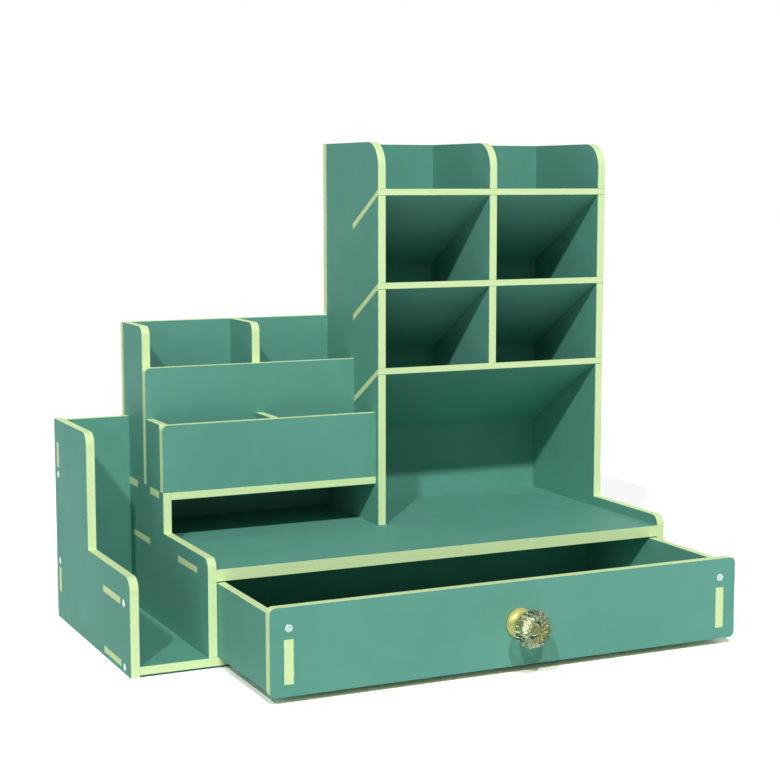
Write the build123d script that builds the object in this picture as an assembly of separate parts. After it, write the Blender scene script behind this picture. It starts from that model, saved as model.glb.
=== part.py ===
from build123d import *
import os
from math import cos, pi, radians, sin, tan

# Desk organizer of painted boards: a file bay, a tray and pen bays, a marker tower with
# sloping shelves, a writing desk and a drawer with a faceted glass knob.
# Millimetres, +X right, +Y back, +Z up. Places are worked out from the outer front corner of
# the left panel on the ground. The finished pieces are then moved so that the origin is on the
# ground under the middle of the box around the organizer, with its drawer and knob as modelled:
# pulled out by drawer_pull.

# ---------------------------------------------------------------- board thicknesses
wall_board = 7.5          # side panels, walls, upright boards and backs
desk_board = 10.0
base_board = 7.0
shelf_board = 5.0         # sloping shelves
floor_board = 6.5         # floor of the tray and pen bays
front_board = 8.0         # drawer front
drawer_board = 7.0        # drawer sides and back
drawer_sheet = 3.0        # drawer bottom

# ---------------------------------------------------------------- fits
joint_gap = 0.1           # round each tenon, lap and screw hole
side_gap = 0.5            # drawer to the walls of its housing
under_gap = 0.3           # drawer to the base board
head_gap = 1.0            # drawer sides to the underside of the desk
stop_gap = 0.3            # shut drawer front to the edges that stop it
end_gap = 3.0             # shut drawer to the back boards

# ---------------------------------------------------------------- cabinet
overall_width = 500.0
wall_depth = 223.0        # side panels and walls, front edge to rear edge
base_lift = 2.0           # ground to the underside of the base board
drawer_opening = 62.0     # base board to the underside of the desk
desk_lip = 9.0            # low front parts of divider and right panel above the desk
lip_radius = 8.0

# ---------------------------------------------------------------- file bay
file_bay_width = 57.3
file_panel_height = 180.0
file_panel_front_height = 80.5
file_panel_step = 119.0   # front edge to the tall part
file_panel_radius = 10.0
file_back_inset = 6.5     # rear edge of the panel to the bay's back board
file_back_tenon_length = 22.0
file_back_low_tenon = 24.5
file_back_high_tenon = 137.5

# ---------------------------------------------------------------- tray and pen bays
left_unit_width = 200.2   # outer face of the divider to the tower
tray_front = 113.0        # desk's front edge to the tray
tray_depth = 39.0
under_tray_height = 37.6
tray_height = 58.0        # above the floor board
middle_height = 102.6
pen_height = 138.4
board_radius = 5.0
pen_radius = 8.0
bay_divider_shift = 2.5   # the bay dividers stand this far right of the bays' middle
floor_tenon_length = 25.0
floor_tenon_inset = 12.0

# ---------------------------------------------------------------- marker tower
tower_front = 107.5       # desk's front edge to the tower
shelf_slope = 30.0        # degrees, down to the back
lower_shelf_rise = 142.5  # desk to the lower shelf's front edge
middle_shelf_rise = 76.5
upper_shelf_rise = 83.0
crown_rise = 41.5         # upper shelf's front edge to the top
crown_radius = 22.0
mid_wall_shift = -1.5      # the middle wall stands this far left of the middle
shelf_lap = 55.0          # length of the open slots in the walls
housing_depth = 2.0       # groove in the lower shelf for the middle wall's foot
housing_stop = 10.0       # shelf's front edge to the groove
foot_length = 30.0        # tenons of the tower's left wall in the desk
foot_inset = 12.0

# ---------------------------------------------------------------- tenons and screws
tenon_set_back = 26.5     # front edge of a side panel to its first tenon
tenon_length = 48.5
rear_tenon_inset = 22.0
side_tenon_thickness = 5.5
spare_slot_height = 54.7
butt_tenon_length = 28.0  # tray front and middle board into the tower's wall
butt_tenon_rise = 16.0
screw_head_radius = 3.2
screw_head_height = 1.8
screw_rim = 0.3
screw_radius = 1.5
screw_length = 20.0
plug_screw_length = 7.0
screw_tip = 3.0
screw_set_back = 17.0
recess_length = 3.4
recess_width = 0.8
recess_depth = 1.2
rear_screw_inset = 14.0   # rear edge of the right panel to its rear screws

# ---------------------------------------------------------------- drawer
drawer_pull = 108.0       # how far the drawer stands open as modelled
front_drop = 2.7          # drawer front below the top of the base board
front_rise = 4.1          # drawer front above the underside of the desk
front_side_lap = 1.0      # drawer front beyond each drawer side
front_radius = 5.0
drawer_back_height = 48.0
rebate = 4.0              # how far the bottom reaches under the sides
post_width = 14.0
post_depth = 13.0
post_height = 52.0
post_tenon_width = 8.0
post_tenon_length = 34.5
post_tenon_rise = 3.5
post_tenon_inset = 10.4   # outer face of a drawer side to the tenon beside it
post_screw_rise = 46.8

# ---------------------------------------------------------------- knob
knob_plate_radius = 12.0
knob_plate_rim = 2.2
knob_neck_radius = 6.0
knob_neck_length = 10.5   # drawer front to the glass
knob_glass_radius = 16.0
knob_glass_length = 24.0
knob_facets = 12
knob_shift = 1.5          # the knob sits this far right of the front's middle
knob_lift = 1.0           # and this far above it
knob_screw_radius = 2.0
knob_screw_grip = 7.5     # thread inside the plate
knob_screw_head_radius = 4.0
knob_screw_head_height = 2.4
washer_radius = 6.0
washer_thickness = 1.0

# ---------------------------------------------------------------- places worked out from these
overshoot = 1.0           # cuts run this far past the faces they open
mid = 0.5                 # half way
quarter = mid * mid

divider_x = wall_board + file_bay_width
desk_x = divider_x + wall_board
tower_x = divider_x + left_unit_width
right_x = overall_width - wall_board
mid_wall_x = mid * (tower_x + wall_board + right_x) - mid * wall_board + mid_wall_shift
bay_divider_x = mid * (desk_x + tower_x) - mid * wall_board + bay_divider_shift
full_depth = wall_depth + wall_board

base_top = base_lift + base_board
desk_under = base_top + drawer_opening
desk_top = desk_under + desk_board
lip_top = desk_top + desk_lip
floor_under = desk_top + under_tray_height
floor_top = floor_under + floor_board
tray_top = floor_top + tray_height
middle_top = floor_top + middle_height
pen_top = floor_top + pen_height
lower_z = desk_top + lower_shelf_rise
middle_z = lower_z + middle_shelf_rise
upper_z = middle_z + upper_shelf_rise
tower_top = upper_z + crown_rise
shelf_fronts = {"lower_shelf": lower_z, "middle_shelf": middle_z, "upper_shelf": upper_z}

tray_back = tray_front + wall_board + tray_depth
pen_front = tray_back + wall_board
lap_y = tower_front + shelf_lap
file_back_y = wall_depth - file_back_inset - wall_board
shelf_drop = tan(radians(shelf_slope))
shelf_upright = shelf_board / cos(radians(shelf_slope))

front_tenon = (tenon_set_back, tenon_set_back + tenon_length)
rear_tenon = (wall_depth - rear_tenon_inset - tenon_length, wall_depth - rear_tenon_inset)
base_tenon_z = (base_top - side_tenon_thickness, base_top)
desk_tenon_low = desk_under + mid * (desk_board - side_tenon_thickness)
desk_tenon_z = (desk_tenon_low, desk_tenon_low + side_tenon_thickness)
base_mid = base_lift + mid * base_board
desk_mid = desk_under + mid * desk_board


# ---------------------------------------------------------------- helpers
def block(x, y, z, gap=0.0):
    """Box between two corners; x, y and z are (low, high) pairs, each grown by gap."""
    spans = [(low - gap, high + gap) for low, high in (x, y, z)]
    middle = [mid * (low + high) for low, high in spans]
    return Pos(*middle) * Box(*[high - low for low, high in spans])


def rounded_face(points, rounds):
    """Flat face through the points; rounds lists the corners to round as (u, v, radius)."""
    face = make_face(Polyline(*points, close=True))
    for u, v, radius in rounds:
        corner = face.vertices().sort_by_distance(Vector(u, v, 0))[0]
        face = fillet(corner, radius)
    return face


def across_x(x_low, thickness, points, rounds=()):
    """Board whose thickness lies along X, from its (y, z) outline."""
    return Plane.YZ.offset(x_low) * extrude(rounded_face(points, rounds), thickness)


def across_y(y_low, thickness, points, rounds=()):
    """Board whose thickness lies along Y, from its (x, z) outline."""
    rear = Plane.XZ.offset(-(y_low + thickness))
    return rear * extrude(rounded_face(points, rounds), thickness)


def rectangle(u_low, u_high, v_low, v_high):
    """Corner points of an upright rectangle."""
    return [(u_low, v_low), (u_high, v_low), (u_high, v_high), (u_low, v_high)]


def join(board, tenons):
    """Board with its tenons; each tenon is an (x, y, z) triple of spans."""
    for tenon in tenons:
        board += block(*tenon)
    return board


def cut_slots(board, tenons):
    """Board with a slot for each tenon of its neighbours, larger by the joint gap."""
    for tenon in tenons:
        board -= block(*tenon, gap=joint_gap)
    return board


def slope_line(front_z, ys, rise=0.0):
    """(y, z) points on a sloping shelf's top, or rise above it; its front edge is at front_z."""
    return [(y, front_z - (y - tower_front) * shelf_drop + rise) for y in ys]


def slab(front_z, y_low, y_high, gap=0.0):
    """(y, z) outline of a sloping shelf, grown by gap above and below."""
    over = slope_line(front_z, (y_low, y_high), gap)
    return over + slope_line(front_z, (y_high, y_low), -shelf_upright - gap)


# ---------------------------------------------------------------- tenons shared by two pieces
panel_left = (0.0, wall_board)
divider_span = (divider_x, desk_x)
tower_span = (tower_x, tower_x + wall_board)
right_span = (right_x, overall_width)
mid_wall_span = (mid_wall_x, mid_wall_x + wall_board)
bay_divider_span = (bay_divider_x, bay_divider_x + wall_board)
file_back_span = (file_back_y, file_back_y + wall_board)

base_in_file_panel = [(panel_left, front_tenon, base_tenon_z)]
base_in_right_panel = [(right_span, y, base_tenon_z) for y in (front_tenon, rear_tenon)]
desk_in_divider = [(divider_span, y, desk_tenon_z) for y in (front_tenon, rear_tenon)]
desk_in_right_panel = [(right_span, y, desk_tenon_z) for y in (front_tenon, rear_tenon)]
divider_in_base = [(divider_span, y, (base_lift, base_top)) for y in (front_tenon, rear_tenon)]

file_back_tenon_z = [(z, z + file_back_tenon_length)
                     for z in (file_back_low_tenon, file_back_high_tenon)]
file_back_in_panel = [(panel_left, file_back_span, z) for z in file_back_tenon_z]
file_back_in_divider = [(divider_span, file_back_span, z) for z in file_back_tenon_z]
spare_slot = (panel_left, front_tenon,
              (spare_slot_height, spare_slot_height + side_tenon_thickness))

floor_front_tenon = (tray_front + floor_tenon_inset,
                     tray_front + floor_tenon_inset + floor_tenon_length)
floor_rear_tenon = (wall_depth - floor_tenon_inset - floor_tenon_length,
                    wall_depth - floor_tenon_inset)
floor_z = (floor_under, floor_top)
floor_in_divider = [(divider_span, y, floor_z) for y in (floor_front_tenon, floor_rear_tenon)]
floor_in_tower = [(tower_span, y, floor_z) for y in (floor_front_tenon, floor_rear_tenon)]

butt_tenon_z = (floor_top + butt_tenon_rise, floor_top + butt_tenon_rise + butt_tenon_length)
tray_front_span = (tray_front, tray_front + wall_board)
middle_span = (tray_back, pen_front)
tray_front_in_tower = [(tower_span, tray_front_span, butt_tenon_z)]
middle_in_tower = [(tower_span, middle_span, butt_tenon_z)]
middle_in_floor = [(x, middle_span, floor_z)
                   for x in ((desk_x + floor_tenon_length, desk_x + 2 * floor_tenon_length),
                             (tower_x - 2 * floor_tenon_length, tower_x - floor_tenon_length))]
tray_divider_in_floor = [(bay_divider_span, floor_front_tenon, floor_z)]
pen_divider_in_floor = [(bay_divider_span, floor_rear_tenon, floor_z)]

desk_z = (desk_under, desk_top)
tower_in_desk = [(tower_span, (tower_front + foot_inset, tower_front + foot_inset + foot_length),
                  desk_z),
                 (tower_span, (wall_depth - foot_inset - foot_length, wall_depth - foot_inset),
                  desk_z)]

nodes = {}

# ---------------------------------------------------------------- base, desk and side panels
base = block((wall_board, right_x), (0.0, wall_depth), (base_lift, base_top))
base = join(base, base_in_file_panel + base_in_right_panel)
nodes["base_board"] = cut_slots(base, divider_in_base)

desk = block((desk_x, right_x), (0.0, wall_depth), desk_z)
desk = join(desk, desk_in_divider + desk_in_right_panel)
nodes["desk_board"] = cut_slots(desk, tower_in_desk)

file_panel_outline = [(0, 0), (wall_depth, 0), (wall_depth, file_panel_height),
                      (file_panel_step, file_panel_height),
                      (file_panel_step, file_panel_front_height),
                      (0, file_panel_front_height)]
file_panel = across_x(0.0, wall_board, file_panel_outline,
                      [(0, file_panel_front_height, file_panel_radius),
                       (file_panel_step, file_panel_height, file_panel_radius)])
nodes["file_bay_panel"] = cut_slots(file_panel,
                                    base_in_file_panel + file_back_in_panel + [spare_slot])
nodes["spare_slot_plug"] = block(*spare_slot)

file_back = block((wall_board, divider_x), file_back_span, (base_top, file_panel_height))
nodes["file_bay_back"] = join(file_back, file_back_in_panel + file_back_in_divider)

divider_outline = [(0, base_top), (wall_depth, base_top), (wall_depth, pen_top),
                   (pen_front + joint_gap, pen_top), (pen_front + joint_gap, floor_top),
                   (tray_back - joint_gap, floor_top), (tray_back - joint_gap, tray_top),
                   (tray_front + wall_board, tray_top), (tray_front + wall_board, floor_top),
                   (tray_front, floor_top), (tray_front, lip_top), (0, lip_top)]
divider = across_x(divider_x, wall_board, divider_outline,
                   [(0, lip_top, lip_radius), (pen_front + joint_gap, pen_top, pen_radius)])
divider = join(divider, divider_in_base)
nodes["divider_panel"] = cut_slots(divider, desk_in_divider + floor_in_divider
                                   + file_back_in_divider)


def shelf_slots(board, x_low, names):
    """Board with the open slots that the named shelves slide into from the front."""
    for name in names:
        outline = slab(shelf_fronts[name], tower_front - overshoot, lap_y + joint_gap, joint_gap)
        board -= across_x(x_low - overshoot, wall_board + 2 * overshoot, outline)
    return board


right_outline = [(0, 0), (wall_depth, 0), (wall_depth, tower_top), (tower_front, tower_top),
                 (tower_front, lip_top), (0, lip_top)]
right_panel = across_x(right_x, wall_board, right_outline,
                       [(tower_front, tower_top, crown_radius), (0, lip_top, lip_radius)])
right_panel = cut_slots(right_panel, base_in_right_panel + desk_in_right_panel)
nodes["right_panel"] = shelf_slots(right_panel, right_x, shelf_fronts)

# ---------------------------------------------------------------- marker tower
left_wall = across_x(tower_x, wall_board, rectangle(tower_front, wall_depth, desk_top, tower_top),
                     [(tower_front, tower_top, crown_radius)])
left_wall = join(left_wall, tower_in_desk)
left_wall = cut_slots(left_wall, floor_in_tower + tray_front_in_tower + middle_in_tower)
nodes["tower_left_wall"] = shelf_slots(left_wall, tower_x, shelf_fronts)

housing_y = tower_front + housing_stop
mid_outline = [(wall_depth, tower_top), (tower_front, tower_top)]
mid_outline += slope_line(lower_z, (tower_front, housing_y))
mid_outline += slope_line(lower_z, (housing_y, wall_depth), -housing_depth)
mid_wall = across_x(mid_wall_x, wall_board, mid_outline,
                    [(tower_front, tower_top, crown_radius)])
nodes["tower_mid_wall"] = shelf_slots(mid_wall, mid_wall_x, ["middle_shelf", "upper_shelf"])

for name, front_z in shelf_fronts.items():
    shelf = across_x(tower_x, overall_width - tower_x, slab(front_z, tower_front, wall_depth))
    low = front_z - shelf_upright - (wall_depth - tower_front) * shelf_drop
    crossed = [tower_span, right_span] + ([] if name == "lower_shelf" else [mid_wall_span])
    for wall_low, wall_high in crossed:
        shelf -= block((wall_low - joint_gap, wall_high + joint_gap),
                       (lap_y, wall_depth + overshoot), (low - overshoot, front_z + overshoot))
    nodes[name] = shelf

groove_y = (housing_y - joint_gap, wall_depth + overshoot)
groove = slope_line(lower_z, groove_y, overshoot)
groove += slope_line(lower_z, groove_y[::-1], -housing_depth - joint_gap)
nodes["lower_shelf"] -= across_x(mid_wall_x - joint_gap, wall_board + 2 * joint_gap, groove)

nodes["tower_back"] = block((tower_x, overall_width), (wall_depth, full_depth), (0.0, tower_top))

# ---------------------------------------------------------------- tray and pen bays
floor = block((desk_x, tower_x), (tray_front, wall_depth), floor_z)
floor = join(floor, floor_in_divider + floor_in_tower)
nodes["pen_bay_floor"] = cut_slots(floor, middle_in_floor + tray_divider_in_floor
                                   + pen_divider_in_floor)

tray_board = across_y(tray_front, wall_board, rectangle(divider_x, tower_x, floor_top, tray_top),
                      [(divider_x, tray_top, board_radius)])
nodes["tray_front"] = join(tray_board, tray_front_in_tower)

middle_board = across_y(tray_back, wall_board,
                        rectangle(divider_x, tower_x, floor_top, middle_top),
                        [(divider_x, middle_top, board_radius)])
nodes["pen_bay_middle_board"] = join(middle_board, middle_in_tower + middle_in_floor)

tray_divider = across_x(bay_divider_x, wall_board,
                        rectangle(tray_front + wall_board, tray_back, floor_top, tray_top),
                        [(tray_front + wall_board, tray_top, board_radius)])
nodes["tray_divider"] = join(tray_divider, tray_divider_in_floor)

pen_divider = across_x(bay_divider_x, wall_board,
                       rectangle(pen_front, wall_depth, floor_top, pen_top),
                       [(pen_front, pen_top, pen_radius)])
nodes["pen_bay_divider"] = join(pen_divider, pen_divider_in_floor)

nodes["pen_bay_back"] = block((divider_x, tower_x), (wall_depth, full_depth), (0.0, pen_top))


# ---------------------------------------------------------------- wood screws
def screw_profile(length, gap=0.0):
    """Half outline of a countersunk wood screw, head up at v = 0, as (radius, height)."""
    return [(0, 0), (screw_head_radius + gap, 0), (screw_head_radius + gap, -screw_rim),
            (screw_radius + gap, -screw_head_height), (screw_radius + gap, screw_tip - length),
            (0, -length - gap)]


def turned(outline):
    """Solid of revolution about Z from a half outline of (radius, height) points."""
    face = Plane.XZ * make_face(Polyline(*outline, close=True))
    return revolve(face, Axis.Z)


def screw(length):
    """Countersunk wood screw with a cross recess, its head's face at the origin, along -Z."""
    body = turned(screw_profile(length))
    for turn in (0, 90):
        arm = Box(recess_length, recess_width, 2 * recess_depth)
        body -= Rot(0, 0, turn) * arm
    return body


def fix(group, boards, points, outward, length=screw_length):
    """Adds a screw to the group at each point, and its hole to each named board."""
    hole = turned(screw_profile(length, joint_gap))
    for point in points:
        place = Plane(origin=point, z_dir=outward)
        nodes.setdefault(group, []).append(place * screw(length))
        for board in boards:
            nodes[board] -= place * hole


left, right, front, back = (-1, 0, 0), (1, 0, 0), (0, -1, 0), (0, 1, 0)
half_wall = mid * wall_board
file_back_mid = file_back_y + half_wall
rear_screw_y = wall_depth - rear_screw_inset
spare_mid = spare_slot_height + mid * side_tenon_thickness

low_back_screw = file_back_low_tenon + file_back_tenon_length + 2 * screw_head_radius
high_back_screw = file_back_high_tenon - 2 * screw_head_radius
fix("side_panel_screws", ["file_bay_panel", "base_board"], [(0, screw_set_back, base_mid)], left)
fix("side_panel_screws", ["file_bay_panel", "file_bay_back"],
    [(0, file_back_mid, z) for z in (low_back_screw, high_back_screw)], left)
fix("spare_slot_screw", ["file_bay_panel"], [(0, screw_set_back, spare_mid)], left,
    plug_screw_length)
fix("side_panel_screws", ["right_panel", "base_board"],
    [(overall_width, y, base_mid) for y in (screw_set_back, rear_screw_y)], right)
fix("side_panel_screws", ["right_panel", "desk_board"],
    [(overall_width, y, desk_mid) for y in (screw_set_back, rear_screw_y)], right)

left_wall_rows = [desk_top + lower_shelf_rise * mid, middle_z, upper_z]
fix("back_board_screws", ["tower_back", "tower_left_wall"],
    [(tower_x + half_wall, full_depth, z) for z in left_wall_rows], back)
fix("back_board_screws", ["tower_back", "right_panel"],
    [(right_x + half_wall, full_depth, z) for z in [mid * desk_under] + left_wall_rows], back)
fix("back_board_screws", ["tower_back", "tower_mid_wall"],
    [(mid_wall_x + half_wall, full_depth, z) for z in (middle_z, upper_z)], back)
fix("back_board_screws", ["tower_back", "desk_board"],
    [(mid_wall_x + half_wall, full_depth, desk_mid)], back)
fix("back_board_screws", ["tower_back", "base_board"],
    [(mid_wall_x + half_wall, full_depth, base_mid)], back)
divider_rows = [mid * (low_back_screw + desk_under), mid * (tray_top + middle_top), middle_top]
fix("back_board_screws", ["pen_bay_back", "divider_panel"],
    [(divider_x + half_wall, full_depth, z) for z in divider_rows], back)
pen_columns = [desk_x + share * (tower_x - desk_x) for share in (quarter, 1 - quarter)]
fix("back_board_screws", ["pen_bay_back", "desk_board"],
    [(x, full_depth, desk_mid) for x in pen_columns], back)
fix("back_board_screws", ["pen_bay_back", "pen_bay_floor"],
    [(x, full_depth, mid * (floor_under + floor_top)) for x in pen_columns], back)
fix("back_board_screws", ["pen_bay_back", "base_board"],
    [(x, full_depth, base_mid) for x in pen_columns], back)

# ---------------------------------------------------------------- drawer, worked out shut
drawer_left = desk_x + side_gap
drawer_right = right_x - side_gap
side_low = base_top + under_gap
side_high = desk_under - head_gap
drawer_end = wall_depth - end_gap
front_back = -stop_gap                      # back face of the drawer front
front_face = front_back - front_board
front_low = base_top - front_drop
front_high = desk_under + front_rise
sheet_top = side_low + drawer_sheet
inner_left = drawer_left + drawer_board
inner_right = drawer_right - drawer_board
back_start = drawer_end - drawer_board

front_corners = rectangle(drawer_left - front_side_lap, drawer_right + front_side_lap,
                          front_low, front_high)
drawer_front = across_y(front_face, front_board, front_corners,
                        [(u, v, front_radius) for u, v in front_corners])
side_y = (front_back, drawer_end)
left_side = block((drawer_left, inner_left), side_y, (side_low, side_high))
right_side = block((inner_right, drawer_right), side_y, (side_low, side_high))
rebate_left = drawer_left + drawer_board - rebate
rebate_right = drawer_right - drawer_board + rebate
sheet = block((rebate_left, rebate_right), side_y, (side_low, sheet_top))
nodes["drawer_left_side"] = left_side - sheet
nodes["drawer_right_side"] = right_side - sheet
nodes["drawer_bottom"] = sheet
nodes["drawer_back"] = block((inner_left, inner_right), (back_start, drawer_end),
                             (sheet_top, sheet_top + drawer_back_height))

# Corner posts glued behind the front; their tenons show as upright marks in it
post_y = (front_back, front_back + post_depth)
post_z = (sheet_top, sheet_top + post_height)
tenon_y = (front_face, front_back)
tenon_low = sheet_top + post_tenon_rise
tenon_z = (tenon_low, tenon_low + post_tenon_length)
left_tenon_x = drawer_left + post_tenon_inset
right_tenon_x = drawer_right - post_tenon_inset - post_tenon_width
posts = {"left_post": ((inner_left, inner_left + post_width), left_tenon_x),
         "right_post": ((inner_right - post_width, inner_right), right_tenon_x)}
for name, (post_x, tenon_x) in posts.items():
    tenon = ((tenon_x, tenon_x + post_tenon_width), tenon_y, tenon_z)
    nodes["drawer_" + name] = join(block(post_x, post_y, post_z), [tenon])
    drawer_front = cut_slots(drawer_front, [tenon])
nodes["drawer_front"] = drawer_front
for name, (post_x, tenon_x) in posts.items():
    point = (tenon_x + mid * post_tenon_width, front_face, sheet_top + post_screw_rise)
    fix("drawer_front_screws", ["drawer_front", "drawer_" + name], [point], front)
back_screw_rows = [sheet_top + share * drawer_back_height for share in (quarter, 1 - quarter)]
back_mid = back_start + mid * drawer_board
fix("drawer_back_screws", ["drawer_left_side", "drawer_back"],
    [(drawer_left, back_mid, z) for z in back_screw_rows], left)
fix("drawer_back_screws", ["drawer_right_side", "drawer_back"],
    [(drawer_right, back_mid, z) for z in back_screw_rows], right)

# ---------------------------------------------------------------- knob
knob_x = mid * (drawer_left + drawer_right) + knob_shift
knob_z = mid * (front_low + front_high) + knob_lift
knob_place = Plane(origin=(knob_x, front_face, knob_z), x_dir=(1, 0, 0), z_dir=front)
inside_place = Plane(origin=(knob_x, front_back, knob_z), x_dir=(1, 0, 0), z_dir=front)

# Cast plate: a round rim on the drawer front that sweeps in to the neck that holds the glass
rim_top = (knob_plate_radius, knob_plate_rim)
neck_top = (knob_neck_radius, knob_neck_length)
bell = (Polyline((0, knob_neck_length), (0, 0), (knob_plate_radius, 0), rim_top)
        + RadiusArc(rim_top, neck_top, knob_neck_length)
        + Line(neck_top, (0, knob_neck_length)))
plate = revolve(Plane.XZ * make_face(bell), Axis.Z)
thread_hole = Pos(0, 0, mid * knob_screw_grip) * Cylinder(knob_screw_radius + joint_gap,
                                                          knob_screw_grip)
nodes["knob_plate"] = knob_place * (plate - thread_hole)

# Cut glass: rings of corners, each turned half a facet from the last, joined by flat facets.
# Each ring is (share of the glass radius, share of its length along the knob's axis).
glass_rings = [(0.46, 0.0), (0.86, 0.17), (1.0, 0.40), (0.86, 0.74), (0.46, 1.0)]


def ring_points(ring, radius_share, length_share):
    """Corners of one ring of the cut glass."""
    radius = radius_share * knob_glass_radius
    height = knob_neck_length + length_share * knob_glass_length
    turns = [2 * pi * (index + mid * (ring % 2)) / knob_facets for index in range(knob_facets)]
    return [(radius * cos(turn), radius * sin(turn), height) for turn in turns]


glass_corners = []
for ring, shares in enumerate(glass_rings):
    glass_corners += ring_points(ring, *shares)
nodes["knob_glass"] = knob_place * ConvexPolyhedron(glass_corners)

# Machine screw from inside the drawer, with its washer
washer_hole = Cylinder(knob_screw_radius + joint_gap, washer_thickness + 2 * overshoot)
washer = Cylinder(washer_radius, washer_thickness) - washer_hole
nodes["knob_washer"] = inside_place * Pos(0, 0, -mid * washer_thickness) * washer
shank_length = washer_thickness + front_board + knob_screw_grip
shank = Pos(0, 0, mid * shank_length) * Cylinder(knob_screw_radius, shank_length)
head = Pos(0, 0, -mid * knob_screw_head_height) * Cylinder(knob_screw_head_radius,
                                                           knob_screw_head_height)
head -= Pos(0, 0, -knob_screw_head_height) * Box(2 * knob_screw_head_radius + overshoot,
                                                 recess_width, 2 * recess_depth)
nodes["knob_screw"] = inside_place * Pos(0, 0, -washer_thickness) * (shank + head)
front_hole = Cylinder(knob_screw_radius + joint_gap, front_board + 2 * overshoot)
nodes["drawer_front"] -= inside_place * Pos(0, 0, mid * front_board) * front_hole

# ---------------------------------------------------------------- writing the pieces
knob_tip = front_face - drawer_pull - knob_neck_length - knob_glass_length
to_middle = Pos(-mid * overall_width, -mid * (knob_tip + full_depth), 0)
pulled_out = Pos(0, -drawer_pull, 0)
moving = ("drawer_", "knob_")

os.makedirs("parts", exist_ok=True)
for name, shape in nodes.items():
    place = to_middle * pulled_out if name.startswith(moving) else to_middle
    solids = shape if isinstance(shape, list) else [shape]
    pieces = [solid for item in solids for solid in (place * item).solids()]
    whole = pieces[0] if len(pieces) == 1 else Compound(children=pieces)
    export_step(whole, os.path.join("parts", name + ".step"))
print(len(nodes), "pieces written")
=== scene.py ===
import math

import bmesh
import bpy
import numpy as np
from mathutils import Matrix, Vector


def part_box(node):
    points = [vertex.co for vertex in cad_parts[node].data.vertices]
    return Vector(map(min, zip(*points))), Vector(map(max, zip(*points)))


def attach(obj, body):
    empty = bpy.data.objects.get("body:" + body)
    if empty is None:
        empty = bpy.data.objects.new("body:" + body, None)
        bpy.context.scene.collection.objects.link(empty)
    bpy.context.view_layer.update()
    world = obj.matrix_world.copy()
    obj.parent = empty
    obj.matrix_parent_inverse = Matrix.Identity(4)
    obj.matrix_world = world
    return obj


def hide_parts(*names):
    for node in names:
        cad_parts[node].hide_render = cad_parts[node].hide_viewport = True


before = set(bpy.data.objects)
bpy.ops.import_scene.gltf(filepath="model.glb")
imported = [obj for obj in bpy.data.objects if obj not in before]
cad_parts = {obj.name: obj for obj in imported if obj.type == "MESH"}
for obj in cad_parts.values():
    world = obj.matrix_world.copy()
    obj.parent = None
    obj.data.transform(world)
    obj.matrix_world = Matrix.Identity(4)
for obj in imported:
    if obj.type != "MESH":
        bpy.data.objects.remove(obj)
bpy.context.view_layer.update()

MM = 0.001


# ---------------------------------------------------------------- studio
# Pale floor and white surroundings. Two lamps high on the left give the crossed shadows that
# fall down and to the right of the knob. A broad soft panel on the left fills the left sides,
# and another keeps the back from going dark.
def linear(hex_colour):
    """Linear RGBA of an sRGB hex colour: c / 12.92 up to 0.04045, and above it
    ((c + 0.055) / 1.055) to the power 2.4."""
    srgb = np.array([int(hex_colour[i:i + 2], 16) for i in (1, 3, 5)]) / 255
    rgb = np.where(srgb <= 0.04045, srgb / 12.92, ((srgb + 0.055) / 1.055) ** 2.4)
    return (*rgb.tolist(), 1.0)


def node(tree, kind, inputs=None, **settings):
    """Adds a shader node; an input is a plain value, or another node's output to link."""
    made = tree.nodes.new("ShaderNode" + kind)
    for name, value in settings.items():
        setattr(made, name, value)
    for name, value in (inputs or {}).items():
        if isinstance(value, bpy.types.NodeSocket):
            tree.links.new(value, made.inputs[name])
        else:
            made.inputs[name].default_value = value
    return made


def seen_directly(tree):
    """1 for camera, glossy and transmission rays, 0 for the rays that light the object."""
    path = node(tree, "LightPath")
    glossy = node(tree, "Math", {0: path.outputs["Is Camera Ray"],
                                 1: path.outputs["Is Glossy Ray"]}, operation="MAXIMUM")
    return node(tree, "Math", {0: glossy.outputs[0],
                               1: path.outputs["Is Transmission Ray"]},
                operation="MAXIMUM").outputs[0]


bpy.context.scene.view_settings.view_transform = "Standard"
AMBIENT = 0.14            # strength of the surroundings as a light
world = bpy.data.worlds.new("studio")
bpy.context.scene.world = world
world.use_nodes = True
world.node_tree.nodes.clear()
seen = seen_directly(world.node_tree)
strength = node(world.node_tree, "MapRange", {"Value": seen, "To Min": AMBIENT, "To Max": 1.0})
sky = node(world.node_tree, "Background", {"Color": (1.0, 1.0, 1.0, 1.0),
                                           "Strength": strength.outputs[0]})
node(world.node_tree, "OutputWorld", {"Surface": sky.outputs[0]})

FLOOR_HALF = 3.0          # m, from its middle to each side
FLOOR_PALE = 0.8          # what the floor reflects onto the object
FLOOR_SEEN = 1.6          # its colour as seen, so that only deep shadow shows on it
floor_mesh = bpy.data.meshes.new("floor")
corners = np.array([(-1, -1, 0), (1, -1, 0), (1, 1, 0), (-1, 1, 0)]) * FLOOR_HALF
floor_mesh.from_pydata(corners.tolist(), [], [(0, 1, 2, 3)])
floor = bpy.data.objects.new("floor", floor_mesh)
bpy.context.collection.objects.link(floor)
paper = bpy.data.materials.new("matt_white_paper_floor")
paper.use_nodes = True
paper.node_tree.nodes.clear()
pale = node(paper.node_tree, "MapRange", {"Value": seen_directly(paper.node_tree),
                                          "To Min": FLOOR_PALE, "To Max": FLOOR_SEEN})
matt = node(paper.node_tree, "BsdfDiffuse", {"Color": pale.outputs[0]})
node(paper.node_tree, "OutputMaterial", {"Surface": matt.outputs[0]})
floor_mesh.materials.append(paper)

LAMP_REACH = 10.0         # m, from the point aimed at to each lamp
AIM = Vector((0.0, 0.0, 0.15))
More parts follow.
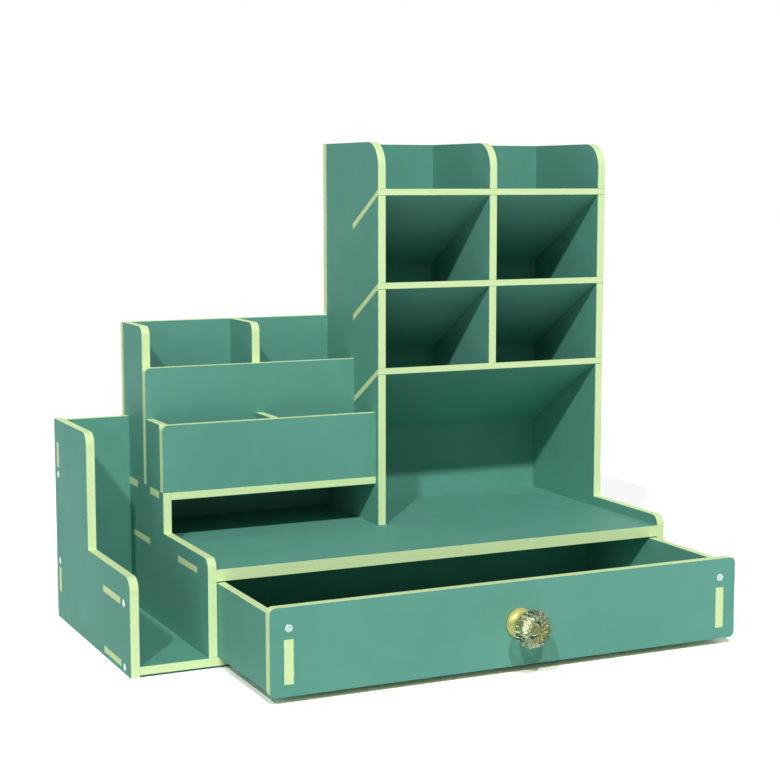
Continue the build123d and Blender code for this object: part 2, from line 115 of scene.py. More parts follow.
# Name, direction the light travels, size in m, share of full light on a face square to it, and
# whether it shows in reflections
lamps = [("upper_left_lamp", (0.80, 1.0, -1.03), 0.4, 0.37, True),
         ("upper_front_lamp", (0.28, 1.0, -1.01), 0.4, 0.44, True),
         ("soft_left_panel", (1.0, 0.5, -0.35), 6.5, 0.07, False),
         ("soft_back_panel", (-0.5, -1.0, -0.45), 6.5, 0.40, False)]
for lamp_name, travel, size, share, reflected in lamps:
    data = bpy.data.lights.new(lamp_name, "AREA")
    data.shape = "DISK"
    data.size = size
    data.energy = share * math.pi ** 2 * LAMP_REACH ** 2
    lamp = bpy.data.objects.new(lamp_name, data)
    lamp.location = AIM - Vector(travel).normalized() * LAMP_REACH
    lamp.rotation_euler = Vector(travel).to_track_quat("-Z", "Y").to_euler()
    lamp.visible_camera = False
    lamp.visible_glossy = reflected
    bpy.context.collection.objects.link(lamp)

# The camera stands to the left of the front and a little above the tower's middle shelf.
camera = bpy.data.objects.new("camera", bpy.data.cameras.new("camera"))
camera.data.sensor_width = 36.0
camera.data.lens = 79.85
camera.location = (-0.63302, -1.32592, 0.38938)
camera.rotation_euler = (math.radians(90.0 - 6.87), 0.0, math.radians(-25.33))
bpy.context.collection.objects.link(camera)
bpy.context.scene.camera = camera


# ---------------------------------------------------------------- base board and desk board
# Flat sawn boards sprayed with satin green lacquer on both broad faces, with tenons that go
# through the side panels. The sawn edges and the ends of the tenons are left bare and pale,
# and the lacquer is rubbed a little along each arris.
ARRIS = 0.25 * MM         # width of the eased corner of a board
ARRIS_ANGLE = math.radians(40)
HEAD_RADIUS = 2.95 * MM   # of the countersunk screws, a little less than their holes
HOLE_REACH = 4.2 * MM     # edges nearer than this to a screw's axis stay sharp
WIDE_SHARE = 0.9          # corners further out than this share of the head belong to it
SAME_POINT = 0.001 * MM   # corners of a screw nearer than this are one corner
SAME_CORNER = 0.005 * MM  # and those of a board
FLAT_TURN = math.radians(0.3)  # faces that turn less than this are one face
BROAD_SHARE = 0.99        # how squarely a face looks across the board to count as broad
PAINT, BARE, RUBBED = 0, 1, 2
ACROSS_X, ACROSS_Y, ACROSS_Z = (1, 0, 0), (0, 1, 0), (0, 0, 1)


def per_metre(millimetres):
    """Noise scale that gives features of this size."""
    return 1000.0 / millimetres


def new_material(name):
    """Empty node material, its node tree, and the Object coordinates its patterns read."""
    made = bpy.data.materials.new(name)
    made.use_nodes = True
    made.node_tree.nodes.clear()
    return made, made.node_tree, node(made.node_tree, "TexCoord").outputs["Object"]


def two_tone(tree, factor, low, high, dark, light):
    """Colour between two sRGB hex values as the factor goes from low to high."""
    ramp = node(tree, "ValToRGB", {"Fac": factor})
    ramp.color_ramp.elements[0].position = low
    ramp.color_ramp.elements[0].color = linear(dark)
    ramp.color_ramp.elements[1].position = high
    ramp.color_ramp.elements[1].color = linear(light)
    return ramp.outputs["Color"]


def lacquer_colour(tree, place):
    """Green of the lacquer, a little uneven over a hand's width and over a finger's width."""
    broad = node(tree, "TexNoise", {"Vector": place, "Scale": per_metre(160.0), "Detail": 2.0})
    close = node(tree, "TexNoise", {"Vector": place, "Scale": per_metre(22.0), "Detail": 3.0})
    mean = node(tree, "Mix", {"Factor": 0.35, "A": broad.outputs["Fac"],
                              "B": close.outputs["Fac"]}, data_type="FLOAT")
    return two_tone(tree, mean.outputs["Result"], 0.35, 0.65, "#61a391", "#6aab9a")


def core_colour(tree, place):
    """Pale core of the board with faint layers that run along the edge and specks of fibre.
    The layers are noise stretched along the board, at 1.3 mm across its thickness."""
    across = node(tree, "Attribute", attribute_name="across", attribute_type="GEOMETRY")
    shift = node(tree, "Math", {0: across.outputs["Fac"], 1: per_metre(1.3)},
                 operation="MULTIPLY")
    offset = node(tree, "CombineXYZ", {"X": shift.outputs[0]})
    along = per_metre(29.0)
    drawn = node(tree, "VectorMath", {0: place, 1: (along, along, along),
                                      2: offset.outputs[0]}, operation="MULTIPLY_ADD")
    layers = node(tree, "TexNoise", {"Vector": drawn.outputs[0], "Scale": 1.0, "Detail": 2.0})
    specks = node(tree, "TexNoise", {"Vector": place, "Scale": per_metre(0.9), "Detail": 2.0})
    mean = node(tree, "Mix", {"Factor": 0.45, "A": layers.outputs["Fac"],
                              "B": specks.outputs["Fac"]}, data_type="FLOAT")
    grain = mean.outputs["Result"]
    return two_tone(tree, grain, 0.33, 0.62, "#daf5b3", "#e5fcc1"), grain


def satin_green_lacquer():
    """Low satin lacquer: hardly any sheen, with the fine dimples of sprayed paint. The dimples are
    drawn at 2 mm, coarser than real, so that they show."""
    made, tree, place = new_material("satin_green_lacquer")
    dimples = node(tree, "TexNoise", {"Vector": place, "Scale": per_metre(2.0), "Detail": 1.0})
    handled = node(tree, "TexNoise", {"Vector": place, "Scale": per_metre(45.0), "Detail": 3.0})
    rough = node(tree, "MapRange", {"Value": handled.outputs["Fac"], "From Min": 0.3,
                                    "From Max": 0.7, "To Min": 0.54, "To Max": 0.66})
    bump = node(tree, "Bump", {"Strength": 0.35, "Distance": 0.03 * MM,
                               "Height": dimples.outputs["Fac"]})
    paint = node(tree, "BsdfPrincipled", {"Base Color": lacquer_colour(tree, place),
                                          "Roughness": rough.outputs[0], "IOR": 1.48,
                                          "Specular IOR Level": 0.12,
                                          "Normal": bump.outputs["Normal"]})
    node(tree, "OutputMaterial", {"Surface": paint.outputs[0]})
    return made


def bare_board_edge():
    """Bare sawn edge of pressed fibre board: pale, matt, with faint layers along the edge."""
    made, tree, place = new_material("bare_sawn_board_edge")
    colour, grain = core_colour(tree, place)
    bump = node(tree, "Bump", {"Strength": 0.4, "Distance": 0.05 * MM, "Height": grain})
    core = node(tree, "BsdfPrincipled", {"Base Color": colour, "Roughness": 0.75, "IOR": 1.45,
                                         "Specular IOR Level": 0.2,
                                         "Normal": bump.outputs["Normal"]})
    node(tree, "OutputMaterial", {"Surface": core.outputs[0]})
    return made


def rubbed_arris():
    """Eased corner: lacquer on the half that turns to the broad face, with small places rubbed
    through, and bare core on the rest. The half is told by the share of the surface's own
    direction that lies across the board."""
    made, tree, place = new_material("lacquer_rubbed_at_arris")
    facing = node(tree, "TexCoord").outputs["Normal"]
    axis = node(tree, "Attribute", attribute_name="across_axis", attribute_type="GEOMETRY")
    share = node(tree, "VectorMath", {0: facing, 1: axis.outputs["Vector"]},
                 operation="DOT_PRODUCT")
    turned = node(tree, "Math", {0: share.outputs["Value"]}, operation="ABSOLUTE")
    chips = node(tree, "TexNoise", {"Vector": place, "Scale": per_metre(4.0), "Detail": 4.0,
                                    "Roughness": 0.7})
    worn = node(tree, "MapRange", {"Value": chips.outputs["Fac"], "From Min": 0.35,
                                   "From Max": 0.70, "To Min": 0.12, "To Max": 1.05})
    painted = node(tree, "Math", {0: turned.outputs[0], 1: worn.outputs[0]},
                   operation="GREATER_THAN")
    mixed = node(tree, "MixRGB", {"Fac": painted.outputs[0],
                                  "Color1": core_colour(tree, place)[0],
                                  "Color2": lacquer_colour(tree, place)})
    corner = node(tree, "BsdfPrincipled", {"Base Color": mixed.outputs["Color"],
                                           "Roughness": 0.65, "IOR": 1.46,
                                           "Specular IOR Level": 0.2})
    node(tree, "OutputMaterial", {"Surface": corner.outputs[0]})
    return made


lacquer, bare_edge, rubbed = satin_green_lacquer(), bare_board_edge(), rubbed_arris()


def screw_places(name):
    """Head centre, outward direction and length of each screw in a CAD node. A screw's long
    side is its axis, and its head is at the end whose corners lie far from that axis."""
    bm = bmesh.new()
    bm.from_mesh(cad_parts[name].data)
    bmesh.ops.remove_doubles(bm, verts=bm.verts, dist=SAME_POINT)
    left, places = set(bm.verts), []
    while left:
        island, edge_of = set(), [next(iter(left))]
        while edge_of:
            vert = edge_of.pop()
            if vert not in island:
                island.add(vert)
                edge_of += [edge.other_vert(vert) for edge in vert.link_edges]
        left -= island
        points = np.array([vert.co for vert in island])
        low, high = points.min(axis=0), points.max(axis=0)
        axis = int(np.argmax(high - low))
        centre = (low + high) / 2
        radial = np.linalg.norm(np.delete(points - centre, axis, axis=1), axis=1)
        wide_end = points[radial > HEAD_RADIUS * WIDE_SHARE, axis].mean()
        sign = 1.0 if wide_end > centre[axis] else -1.0
        head, outward = centre.copy(), np.zeros(3)
        head[axis] = high[axis] if sign > 0 else low[axis]
        outward[axis] = sign
        places.append((head, outward, float(high[axis] - low[axis])))
    bm.free()
    return sorted(places, key=lambda place: tuple(np.round(place[0], 5)))


screw_groups = {"side_panel_screws": "cabinet", "spare_slot_screw": "cabinet",
                "back_board_screws": "cabinet", "drawer_front_screws": "drawer",
                "drawer_back_screws": "drawer"}
screws_of = {group: screw_places(group) for group in screw_groups}


def near_screw(points):
    """True for points that lie within reach of a screw's axis, over its length."""
    found = np.zeros(len(points), bool)
    for head, outward, length in sum(screws_of.values(), []):
        along = (head - points) @ outward
        away = np.linalg.norm(points - head + along[:, None] * outward, axis=1)
        found |= (away < HOLE_REACH) & (along > -MM) & (along < length + MM)
    return found


def dress_board(name, body, across, slot="painted_board"):
    """Merged copy of a board's CAD solid with eased corners, kept inside the solid's box. Faces
    square to its thickness are lacquered, the others are bare edges, and the eased corners are
    rubbed."""
    across = np.array(Vector(across).normalized())
    mesh = bpy.data.meshes.new(name + "_board")
    bm = bmesh.new()
    bm.from_mesh(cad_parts[name].data)
    bmesh.ops.remove_doubles(bm, verts=bm.verts, dist=SAME_CORNER)
    bmesh.ops.dissolve_limit(bm, angle_limit=FLAT_TURN, verts=bm.verts, edges=bm.edges)
    bm.edges.ensure_lookup_table()
    turn = np.array([edge.calc_face_angle(0.0) for edge in bm.edges])
    bm.to_mesh(mesh)
    bm.free()
    if "custom_normal" in mesh.attributes:
        mesh.attributes.remove(mesh.attributes["custom_normal"])
    corner = np.empty(len(mesh.vertices) * 3)
    mesh.vertices.foreach_get("co", corner)
    corner = corner.reshape(-1, 3)
    ends = np.empty(len(mesh.edges) * 2, np.int32)
    mesh.edges.foreach_get("vertices", ends)
    middle = corner[ends.reshape(-1, 2)].mean(axis=1)
    eased = (turn > ARRIS_ANGLE) & ~near_screw(middle)
    weight = mesh.attributes.new("bevel_weight_edge", "FLOAT", "EDGE")
    weight.data.foreach_set("value", eased.astype(np.float32))
    sharp = mesh.attributes.new("sharp_edge", "BOOLEAN", "EDGE")
    sharp.data.foreach_set("value", (turn > ARRIS_ANGLE) & ~eased)
    height = corner @ across
    layer = mesh.attributes.new("across", "FLOAT", "POINT")
    layer.data.foreach_set("value", (height - height.mean()).astype(np.float32))
    axis = mesh.attributes.new("across_axis", "FLOAT_VECTOR", "POINT")
    axis.data.foreach_set("vector", np.tile(across, len(corner)).astype(np.float32))
    normal = np.empty(len(mesh.polygons) * 3)
    mesh.polygons.foreach_get("normal", normal)
    broad = np.abs(normal.reshape(-1, 3) @ across) > BROAD_SHARE
    if slot == "bare_edge":
        broad[:] = False
    mesh.polygons.foreach_set("material_index", np.where(broad, PAINT, BARE).astype(np.int32))
    mesh.polygons.foreach_set("use_smooth", np.ones(len(mesh.polygons), bool))
    for finish in (lacquer, bare_edge, rubbed):
        mesh.materials.append(finish)
    board = bpy.data.objects.new(name + "_board", mesh)
    bpy.context.collection.objects.link(board)
    ease = board.modifiers.new("eased_arris", "BEVEL")
    ease.width = ARRIS
    ease.segments = 2
    ease.limit_method = "WEIGHT"
    ease.use_clamp_overlap = False
    ease.material = BARE if slot == "bare_edge" else RUBBED
    even = board.modifiers.new("even_shading", "WEIGHTED_NORMAL")
    even.keep_sharp = True
    finished = board.evaluated_get(bpy.context.evaluated_depsgraph_get())
    board.data = bpy.data.meshes.new_from_object(finished)
    board.modifiers.clear()
    corner = np.empty(len(board.data.vertices) * 3)
    board.data.vertices.foreach_get("co", corner)
    corner = np.clip(corner.reshape(-1, 3), *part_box(name))
    board.data.vertices.foreach_set("co", corner.ravel())
    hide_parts(name)
    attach(board, body)
    return board


dress_board("base_board", "cabinet", ACROSS_Z)
dress_board("desk_board", "cabinet", ACROSS_Z)

# ---------------------------------------------------------------- file bay
# The L-shaped outer panel, with the ends of the tenons of the base and of the bay's back board
# showing in it. A spare slot low on its front part is closed flush with a bare board end.
dress_board("file_bay_panel", "cabinet", ACROSS_X)
dress_board("file_bay_back", "cabinet", ACROSS_Y)
dress_board("spare_slot_plug", "cabinet", ACROSS_Z, slot="bare_edge")

# ---------------------------------------------------------------- upright panels beside the desk
# Divider between the file bay and the desk, with open slots for the tray's boards, and the right
# panel, low in front and tall beside the tower. Both take the tenons of base and desk.
dress_board("divider_panel", "cabinet", ACROSS_X)
dress_board("right_panel", "cabinet", ACROSS_X)

# ---------------------------------------------------------------- marker tower
# Left and middle wall with rounded crowns and a tall back board glued and screwed on behind.
# Three thin shelves slope down to the back, halved over the walls from the front.
dress_board("tower_left_wall", "cabinet", ACROSS_X)
dress_board("tower_mid_wall", "cabinet", ACROSS_X)
dress_board("tower_back", "cabinet", ACROSS_Y)
SLOPE = math.radians(30)
ACROSS_SLOPE = (0, math.sin(SLOPE), math.cos(SLOPE))
for name in ("upper_shelf", "middle_shelf", "lower_shelf"):
    dress_board(name, "cabinet", ACROSS_SLOPE)

# ---------------------------------------------------------------- tray and pen bays
# A floor board over the desk carries a low tray in front and the deeper pen bays behind. Each
# is parted by a short divider whose tenon stands in the floor.
dress_board("pen_bay_floor", "cabinet", ACROSS_Z)
for name in ("tray_front", "pen_bay_middle_board", "pen_bay_back"):
    dress_board(name, "cabinet", ACROSS_Y)
for name in ("tray_divider", "pen_bay_divider"):
    dress_board(name, "cabinet", ACROSS_X)

# ---------------------------------------------------------------- drawer
# Shallow drawer of the same boards, glued and screwed, with a thin board let in under its
# sides as the bottom. The ends of two corner posts show in its front.
dress_board("drawer_front", "drawer", ACROSS_Y)
dress_board("drawer_back", "drawer", ACROSS_Y)
dress_board("drawer_bottom", "drawer", ACROSS_Z)
for name in ("drawer_left_side", "drawer_right_side", "drawer_left_post", "drawer_right_post"):
    dress_board(name, "drawer", ACROSS_X)

# ---------------------------------------------------------------- wood screws
# Countersunk wood screws of bright zinc plated steel with a cross recess, driven flush into the
# boards. Each surface is one outline turned about the screw's axis.
HEAD_ROUND = 0.25 * MM
HEAD_HEIGHT = 1.8 * MM
SHANK_RADIUS = 1.5 * MM
TIP_LENGTH = 3.0 * MM
RECESS_REACH = 1.85 * MM
RECESS_HALF_WIDTH = 0.50 * MM
RECESS_DEPTH = 1.1 * MM
RECESS_TAPER = 0.35 * MM
SCREW_COLUMNS = 48
FACE_SHARES = np.linspace(0.02, 0.92, 13)  # rings of the flat face, as shares of its radius
BODY_SHARES = np.array([1.0, 1.0, 0.55, 0.02])  # shank and tip, as shares of their radius


def new_object(name, vertices, faces, smooth=True):
    """Mesh object at the origin from a vertex array and lists of corner numbers."""
    mesh = bpy.data.meshes.new(name)
    mesh.from_pydata(np.asarray(vertices).reshape(-1, 3).tolist(), [], faces)
    mesh.polygons.foreach_set("use_smooth", np.full(len(mesh.polygons), smooth))
    made = bpy.data.objects.new(name, mesh)
    bpy.context.collection.objects.link(made)
    return made


def upright_to(outward):
    """Rows are the directions that local x, y and z take when z points along outward."""
    return np.array(Vector(outward).to_track_quat("Z", "Y").to_matrix()).T


def turned_faces(rows, columns, first=0):
    """Four-cornered faces of a grid of rows that closes on itself round its columns."""
    row, column = np.meshgrid(np.arange(rows - 1), np.arange(columns), indexing="ij")
    after = (column + 1) % columns
    around = [row * columns + column, row * columns + after,
              (row + 1) * columns + after, (row + 1) * columns + column]
    return (np.stack(around, axis=-1).reshape(-1, 4)[:, ::-1] + first).tolist()


def end_caps(rows, columns, first=0):
    """Two faces that close the tiny first and last ring of such a grid on its axis."""
    ring = np.arange(columns) + first
    return [ring.tolist(), (ring[::-1] + (rows - 1) * columns).tolist()]


def recess(radius, angle, reach):
    """Share of the recess's depth at a point of the head: how far the point is inside the
    nearest arm of the cross, times how far inside the arms' reach, each from 0 to 1."""
    arm = (angle + np.pi / 4) % (np.pi / 2) - np.pi / 4
    inside = (RECESS_HALF_WIDTH - np.abs(radius * np.sin(arm))) / RECESS_TAPER + 0.5
    return np.clip(inside, 0, 1) * np.clip((reach - radius) / RECESS_TAPER, 0, 1)


def screw_surface(head, outward, length, turn):
    """Rings of corners of one screw. Its outline runs from the middle of the recess over the
    rounded rim and down cone, shank and tip."""
    face = FACE_SHARES * HEAD_RADIUS
    bend = np.radians([0, 30, 60, 90])
    rim_radius = HEAD_RADIUS - HEAD_ROUND + HEAD_ROUND * np.sin(bend)
    rim_height = HEAD_ROUND * (np.cos(bend) - 1)
    body_radius = BODY_SHARES * SHANK_RADIUS
    body_height = np.array([-HEAD_HEIGHT, TIP_LENGTH - length,
                            TIP_LENGTH / 2 - length, -length])
    radius = np.concatenate([face, rim_radius, body_radius])
    height = np.concatenate([np.zeros(len(face)), rim_height, body_height])
    angle = np.arange(SCREW_COLUMNS) * 2 * np.pi / SCREW_COLUMNS
    r, a = np.meshgrid(radius, angle, indexing="ij")
    sunk = np.where(height[:, None] > -HEAD_HEIGHT, RECESS_DEPTH * recess(r, a, RECESS_REACH), 0)
    local = np.stack([r * np.cos(a + turn), r * np.sin(a + turn), height[:, None] - sunk], axis=-1)
    return head + local @ upright_to(outward)


def zinc_plated_steel():
    """Bright zinc: pale blue-white metal, a little cloudy, with fine turning marks."""
    made, tree, place = new_material("bright_zinc_plated_steel")
    cloud = node(tree, "TexNoise", {"Vector": place, "Scale": per_metre(1.4), "Detail": 3.0})
    tint = two_tone(tree, cloud.outputs["Fac"], 0.3, 0.7, "#bfd2d9", "#d8e7ec")
    rough = node(tree, "MapRange", {"Value": cloud.outputs["Fac"], "To Min": 0.18,
                                    "To Max": 0.42})
    marks = node(tree, "TexNoise", {"Vector": place, "Scale": per_metre(0.25), "Detail": 1.0})
    bump = node(tree, "Bump", {"Strength": 0.15, "Distance": 0.02 * MM,
                               "Height": marks.outputs["Fac"]})
    metal = node(tree, "BsdfPrincipled", {"Base Color": tint, "Metallic": 1.0,
                                          "Roughness": rough.outputs[0],
                                          "Normal": bump.outputs["Normal"]})
    node(tree, "OutputMaterial", {"Surface": metal.outputs[0]})
    return made


zinc = zinc_plated_steel()
for group, body in screw_groups.items():
    rings, faces = [], []
    for number, (head, outward, length) in enumerate(screws_of[group]):
        surface = screw_surface(head, outward, length, turn=0.7 * number + 0.3)
        begin = number * surface.size // 3
        faces += turned_faces(len(surface), SCREW_COLUMNS, first=begin)
        faces += end_caps(len(surface), SCREW_COLUMNS, first=begin)
        rings.append(surface.reshape(-1, 3))
    screws = new_object("zinc_" + group, np.concatenate(rings), faces)
    screws.data.set_sharp_from_angle(angle=math.radians(35))
    screws.data.materials.append(zinc)
    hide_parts(group)
    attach(screws, body)

# ---------------------------------------------------------------- knob plate
# Bell-shaped plate of pale brass between the drawer front and the glass. A stud on it is
# cemented into a blind hole in the glass.
glass_low, glass_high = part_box("knob_glass")
plate_low, plate_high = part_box("knob_plate")
knob_axis_x = (plate_low[0] + plate_high[0]) / 2
knob_axis_z = (plate_low[2] + plate_high[2]) / 2
knob_foot = np.array([knob_axis_x, plate_high[1], knob_axis_z])
plate_radius = (plate_high[0] - plate_low[0]) / 2
OUT_FRONT = (0.0, -1.0, 0.0)
GLASS_START = 10.5 * MM
STUD_RADIUS = 6.3 * MM    # where it enters the glass
STUD_TIP_RADIUS = 4.9 * MM
STUD_LENGTH = 8.0 * MM
STUD_EASE = 0.6 * MM
NECK_RADIUS = 6.0 * MM
SEAT_RADIUS = 8.6 * MM    # the neck's flare under the glass
RIM_HEIGHT = 2.2 * MM
RIM_ROUND = 0.6 * MM
BELL_INSET = 0.9 * MM     # from the rim to where the bell begins
BELL_PULL = (1.6 * MM, 3.4 * MM)  # outside the neck and above the foot
NECK_DROP = 2.4 * MM      # from the glass down to where the bell ends
DIMPLE_RADIUS, DIMPLE_FOOT, DIMPLE_DEPTH = 1.6 * MM, 1.2 * MM, 0.5 * MM  # in the stud's end
PLATE_COLUMNS = 96
CLOSED = 0.05 * MM        # radius of the tiny ring by the axis that an end cap closes


def turned_surface(outline, columns, origin, outward):
    """Rings of corners: each (radius, height) of the outline swept round the axis."""
    radius, height = np.array(outline).T
    angle = np.arange(columns) * 2 * np.pi / columns
    r, a = np.meshgrid(radius, angle, indexing="ij")
    local = np.stack([r * np.cos(a), r * np.sin(a), np.broadcast_to(height[:, None], r.shape)],
                     axis=-1)
    return origin + local @ upright_to(outward)


def arc(centre_radius, centre_height, size, start, end, steps):
    """(radius, height) points on a round: centre plus size times sine and cosine of the bend,
    from start to end degrees."""
    bend = np.radians(np.linspace(start, end, steps))
    return np.stack([centre_radius + size * np.sin(bend),
                     centre_height + size * np.cos(bend)], axis=-1)


# The bell is a curve (1-t)^2 rim + 2t(1-t) pull + t^2 neck that leaves the rim steeply inwards
t = np.linspace(0, 1, 18)[:, None]
rim_end = np.array([plate_radius - BELL_INSET, RIM_HEIGHT])
neck_end = np.array([NECK_RADIUS, GLASS_START - NECK_DROP])
pull_in = np.array([NECK_RADIUS + BELL_PULL[0], BELL_PULL[1]])
bell = (1 - t) ** 2 * rim_end + 2 * t * (1 - t) * pull_in + t ** 2 * neck_end
stud_end = GLASS_START + STUD_LENGTH
plate_outline = np.concatenate([
    [(CLOSED, 0.0), (plate_radius - 0.2 * MM, 0.0)],
    arc(plate_radius - RIM_ROUND, RIM_HEIGHT - RIM_ROUND, RIM_ROUND, 90, 0, 7),
    bell,
    [(NECK_RADIUS + 0.4 * MM, GLASS_START - 1.7 * MM),
     (SEAT_RADIUS - 0.8 * MM, GLASS_START - 0.8 * MM), (SEAT_RADIUS, GLASS_START - 0.3 * MM),
     (SEAT_RADIUS, GLASS_START), (STUD_RADIUS, GLASS_START),
     (STUD_TIP_RADIUS, stud_end - STUD_EASE), (STUD_TIP_RADIUS - STUD_EASE, stud_end),
     (DIMPLE_RADIUS, stud_end), (DIMPLE_FOOT, stud_end - DIMPLE_DEPTH),
     (CLOSED, stud_end - DIMPLE_DEPTH)]])
plate = new_object("knob_brass_plate",
                   turned_surface(plate_outline, PLATE_COLUMNS, knob_foot, OUT_FRONT),
                   turned_faces(len(plate_outline), PLATE_COLUMNS)
                   + end_caps(len(plate_outline), PLATE_COLUMNS))
plate.data.flip_normals()
plate.data.set_sharp_from_angle(angle=math.radians(35))


def satin_brass():
    """Satin brass: pale yellow metal, lightly brushed and gone a little dull in places."""
    made, tree, place = new_material("pale_satin_brass")
    cloud = node(tree, "TexNoise", {"Vector": place, "Scale": per_metre(4.0), "Detail": 3.0})
    tint = two_tone(tree, cloud.outputs["Fac"], 0.3, 0.7, "#a9a968", "#c2c082")
    fine = node(tree, "TexNoise", {"Vector": place, "Scale": per_metre(0.3), "Detail": 1.0})
    bump = node(tree, "Bump", {"Strength": 0.2, "Distance": 0.02 * MM,
                               "Height": fine.outputs["Fac"]})
    metal = node(tree, "BsdfPrincipled", {"Base Color": tint, "Metallic": 1.0,
                                          "Roughness": 0.6, "Normal": bump.outputs["Normal"]})
    node(tree, "OutputMaterial", {"Surface": metal.outputs[0]})
    return made


plate.data.materials.append(satin_brass())
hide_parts("knob_plate")
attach(plate, "drawer")

# ---------------------------------------------------------------- knob glass
# Clear glass cut like a gem: a cone of facets widens from the plate to the girdle, and a shorter
# one narrows again to a flat polished front. A tapered blind hole in its back takes the stud.
GLASS_LENGTH = 24.0 * MM
HOLE_GAP = 0.15 * MM
GLASS_COLUMNS = 32        # two for each facet round the glass
CUT_DEPTH = 0.07          # how deep the cuts go between facet corners, as a share of radius
NECK_SHARE, FRONT_SHARE = 0.58, 0.62  # radius at the plate and at the front, as a share
GIRDLE = 0.53             # where it is widest, as a share of its length
SWELL = 0.25              # how much the cone behind the girdle bulges
REAR_RINGS, CROWN_RINGS = 6, 3
FLAT_SHARES = (0.54, 0.25, 0.003)  # round rings of the flat front, as shares of the radius
glass_radius = (glass_high[0] - glass_low[0]) / 2
rear, crown = np.linspace(0, 1, REAR_RINGS), np.linspace(0, 1, CROWN_RINGS + 1)[1:]
flank_share = np.concatenate([
    NECK_SHARE + (1 - NECK_SHARE) * (rear + SWELL * rear * (1 - rear)),
    1 - (1 - FRONT_SHARE) * crown])
flank_height = np.concatenate([GIRDLE * rear, GIRDLE + (1 - GIRDLE) * crown])
FACET_RINGS = len(flank_share)
# Rings of the glass as (share of radius, share of length, facet corners on this ring: 0 for a
# round ring, 1 for corners on the even columns, 2 for corners on the odd ones)
flank = np.stack([flank_share, flank_height, 1 + np.arange(FACET_RINGS) % 2], axis=-1)
front = [(share, 1.0, 0) for share in FLAT_SHARES]
glass_rings = np.concatenate([flank, front])
HOLE_RINGS = 4
FACET_ROWS = (HOLE_RINGS, HOLE_RINGS + FACET_RINGS)  # rings between which it is cut flat


def glass_surface():
    """Rings of the glass, first the blind hole from its bottom out to the neck and then the
    facets. Columns between two facet corners lie lower by the depth of the cuts."""
    bottom = STUD_LENGTH + HOLE_GAP
    inner = [(CLOSED, bottom), (STUD_TIP_RADIUS - STUD_EASE + HOLE_GAP, bottom),
             (STUD_TIP_RADIUS + HOLE_GAP, bottom - STUD_EASE), (STUD_RADIUS + HOLE_GAP, 0.0)]
    share, along, kind = glass_rings.T
    radius = np.concatenate([np.array(inner)[:, 0], share * glass_radius])
    height = np.concatenate([np.array(inner)[:, 1], along * GLASS_LENGTH])
    kind = np.concatenate([np.zeros(len(inner)), kind])
    column = np.arange(GLASS_COLUMNS)
    between = ((kind[:, None] == 1) & (column % 2 == 1)) | ((kind[:, None] == 2)
                                                          & (column % 2 == 0))
    r = radius[:, None] * np.where(between, 1.0 - CUT_DEPTH, 1.0)
    a = np.broadcast_to(column * 2 * np.pi / GLASS_COLUMNS, r.shape)
    local = np.stack([r * np.cos(a), r * np.sin(a),
                      np.broadcast_to(height[:, None], r.shape) + GLASS_START], axis=-1)
    return knob_foot + local @ upright_to(OUT_FRONT)


def facet_faces(rows, columns):
    """Three-cornered faces of a closed grid, split along the diagonal that joins facet
    corners, which changes side from column to column."""
    row, column = np.meshgrid(np.arange(rows - 1), np.arange(columns), indexing="ij")
    after = (column + 1) % columns
    a, b = row * columns + column, row * columns + after
    c, d = (row + 1) * columns + after, (row + 1) * columns + column
    even = ((row + column) % 2 == 0)[..., None]
    first = np.where(even, np.stack([a, b, c], -1), np.stack([a, b, d], -1))
    second = np.where(even, np.stack([a, c, d], -1), np.stack([b, c, d], -1))
    return np.concatenate([first.reshape(-1, 3), second.reshape(-1, 3)])


glass_corners = glass_surface()
glass_faces = facet_faces(len(glass_corners), GLASS_COLUMNS)
glass_caps = end_caps(len(glass_corners), GLASS_COLUMNS)
glass = new_object("cut_glass_knob", glass_corners, glass_faces.tolist() + glass_caps,
                   smooth=False)
face_row = glass_faces.min(axis=1) // GLASS_COLUMNS
cut_flat = (face_row >= FACET_ROWS[0]) & (face_row < FACET_ROWS[1])
glass.data.polygons.foreach_set("use_smooth", np.append(~cut_flat, [True] * len(glass_caps)))
bm = bmesh.new()
bm.from_mesh(glass.data)
bmesh.ops.recalc_face_normals(bm, faces=bm.faces)
bm.to_mesh(glass.data)
bm.free()
glass.data.set_sharp_from_angle(angle=math.radians(30))


def cut_glass():
    """Clear cut glass, faintly yellow, polished, with a trace of waviness from hand polishing."""
    made, tree, place = new_material("clear_cut_glass")
    waves = node(tree, "TexNoise", {"Vector": place, "Scale": per_metre(5.0), "Detail": 1.0})
    bump = node(tree, "Bump", {"Strength": 0.15, "Distance": 0.05 * MM,
                               "Height": waves.outputs["Fac"]})
    wipe = node(tree, "MapRange", {"Value": waves.outputs["Fac"], "To Min": 0.0,
                                   "To Max": 0.06})
    clear = node(tree, "BsdfPrincipled", {"Base Color": linear("#d3d8ae"), "IOR": 1.52,
                                          "Roughness": wipe.outputs[0],
                                          "Transmission Weight": 1.0,
                                          "Normal": bump.outputs["Normal"]})
    node(tree, "OutputMaterial", {"Surface": clear.outputs[0]})
    return made


glass.data.materials.append(cut_glass())
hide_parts("knob_glass")
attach(glass, "drawer")

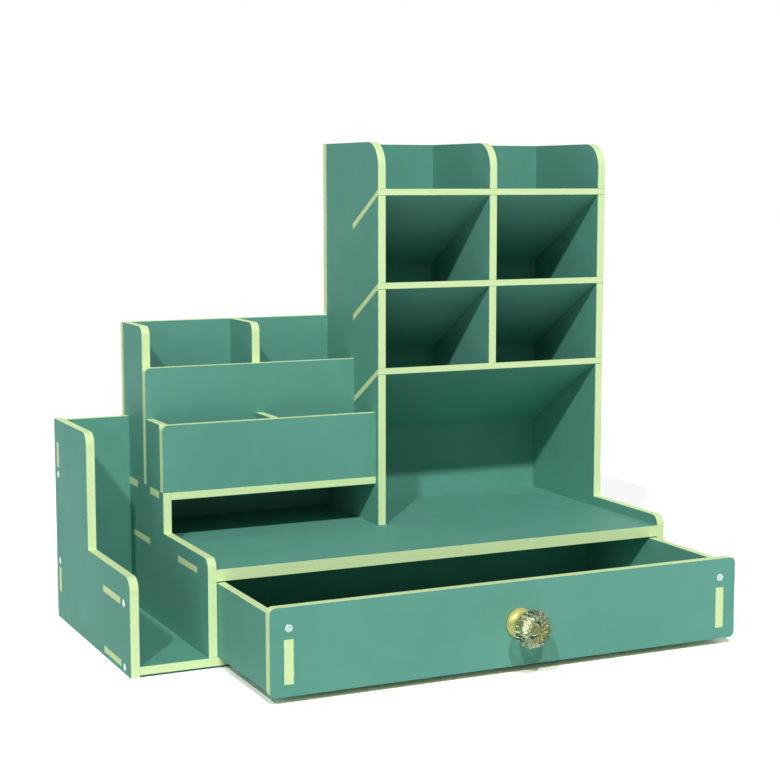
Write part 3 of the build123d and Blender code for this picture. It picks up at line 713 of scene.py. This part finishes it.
# ---------------------------------------------------------------- knob screw and washer
# Zinc plated machine screw with a domed head and a flat washer, put in from inside the drawer
# into the thread of the knob plate.
WASHER_HOLE = 2.1 * MM
WASHER_ROUND = 0.15 * MM
BOLT_RADIUS = 2.0 * MM
BOLT_HEAD_RADIUS = 4.0 * MM
BOLT_HEAD = 2.4 * MM
BOLT_DOME = 1.2 * MM
BOLT_EASE = 0.6 * MM
BOLT_REACH = 2.1 * MM     # arms of the head's recess
FACE_RINGS = 14
INTO_DRAWER = (0.0, 1.0, 0.0)
washer_low, washer_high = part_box("knob_washer")
washer_radius = (washer_high[0] - washer_low[0]) / 2
washer_thick = washer_high[1] - washer_low[1]
washer_outline = np.concatenate([
    [(WASHER_HOLE, 0.0), (WASHER_HOLE, washer_thick)],
    arc(washer_radius - WASHER_ROUND, washer_thick - WASHER_ROUND, WASHER_ROUND, 0, 90, 5),
    arc(washer_radius - WASHER_ROUND, WASHER_ROUND, WASHER_ROUND, 90, 180, 5),
    [(WASHER_HOLE, 0.0)]])
inside_foot = np.array([knob_axis_x, washer_low[1], knob_axis_z])
washer = new_object("knob_zinc_washer",
                    turned_surface(washer_outline, PLATE_COLUMNS, inside_foot, INTO_DRAWER),
                    turned_faces(len(washer_outline), PLATE_COLUMNS))

bolt_tip = washer_high[1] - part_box("knob_screw")[0][1]
dome_radius = BOLT_HEAD_RADIUS - BOLT_DOME
bolt_outline = np.concatenate([
    np.stack([np.linspace(0.02, 1.0, FACE_RINGS) * dome_radius,
              np.full(FACE_RINGS, BOLT_HEAD)], axis=-1),
    arc(dome_radius, BOLT_HEAD - BOLT_DOME, BOLT_DOME, 0, 90, 8)[1:],
    [(BOLT_HEAD_RADIUS, 0.0), (BOLT_RADIUS, 0.0), (BOLT_RADIUS, BOLT_EASE - bolt_tip),
     (BOLT_RADIUS - BOLT_EASE, -bolt_tip), (CLOSED, -bolt_tip)]])
bolt_rings = turned_surface(bolt_outline, SCREW_COLUMNS, np.zeros(3), (0.0, 0.0, 1.0))
face_x, face_y = bolt_rings[:FACE_RINGS, :, 0], bolt_rings[:FACE_RINGS, :, 1]
bolt_rings[:FACE_RINGS, :, 2] -= RECESS_DEPTH * recess(np.hypot(face_x, face_y),
                                                       np.arctan2(face_y, face_x), BOLT_REACH)
under_head = np.array([knob_axis_x, washer_high[1], knob_axis_z])
bolt = new_object("knob_machine_screw", under_head + bolt_rings @ upright_to(INTO_DRAWER),
                  turned_faces(len(bolt_outline), SCREW_COLUMNS)
                  + end_caps(len(bolt_outline), SCREW_COLUMNS))
for piece, replaced in ((washer, "knob_washer"), (bolt, "knob_screw")):
    piece.data.set_sharp_from_angle(angle=math.radians(35))
    piece.data.materials.append(zinc)
    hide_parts(replaced)
    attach(piece, "drawer")
